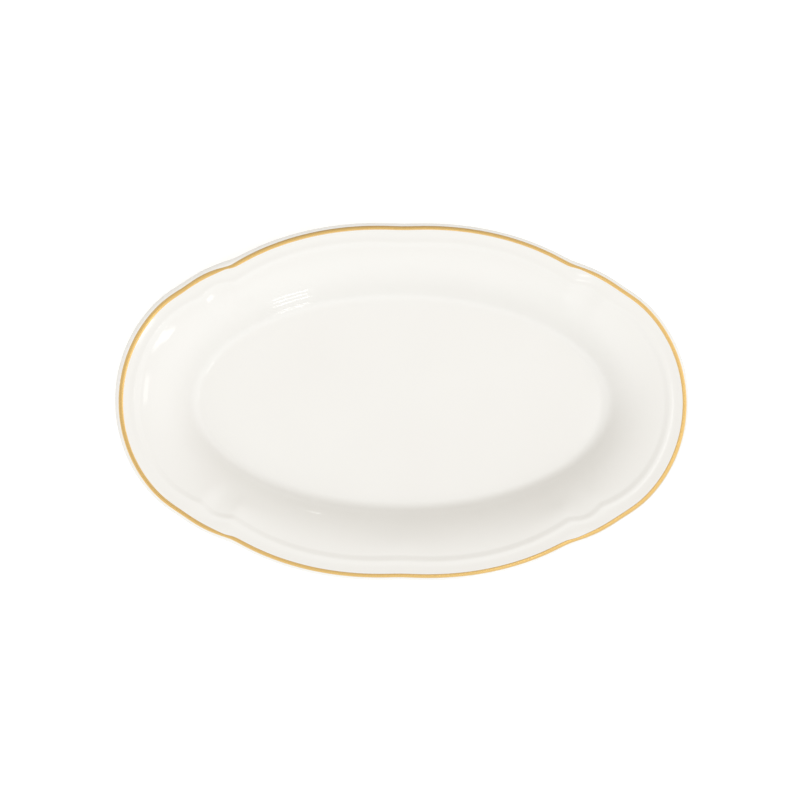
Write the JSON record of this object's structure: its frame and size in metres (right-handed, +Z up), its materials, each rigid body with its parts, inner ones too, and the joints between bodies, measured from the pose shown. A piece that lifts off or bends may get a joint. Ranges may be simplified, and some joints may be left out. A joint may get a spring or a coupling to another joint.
{
  "type": "serving platter",
  "caption": "Oval china serving platter with a scalloped, bracketed edge, a moulded border, a sloping verge, a flat oval well, a low foot ring and a thin gold rim line.",
  "frame": {"origin": "on the table under the middle of the platter, at the foot ring's bearing face", "axes": "+X along the platter's length, +Y along its width, +Z up, out of the well"},
  "size_m": [0.3054, 0.1902, 0.025],
  "materials": {
    "fired_china": "unglazed fired china, warm white, seen only on the foot's bearing face",
    "glazed_china": "glossy clear glaze over warm white china",
    "fired_gold": "fired liquid gold, bright with fine brush marks"
  },
  "bodies": {
    "root": {"china_body": "fired_china", "main_glaze": "glazed_china", "base_glaze": "glazed_china", "gold_line": "fired_gold"}
  },
  "joints": []
}
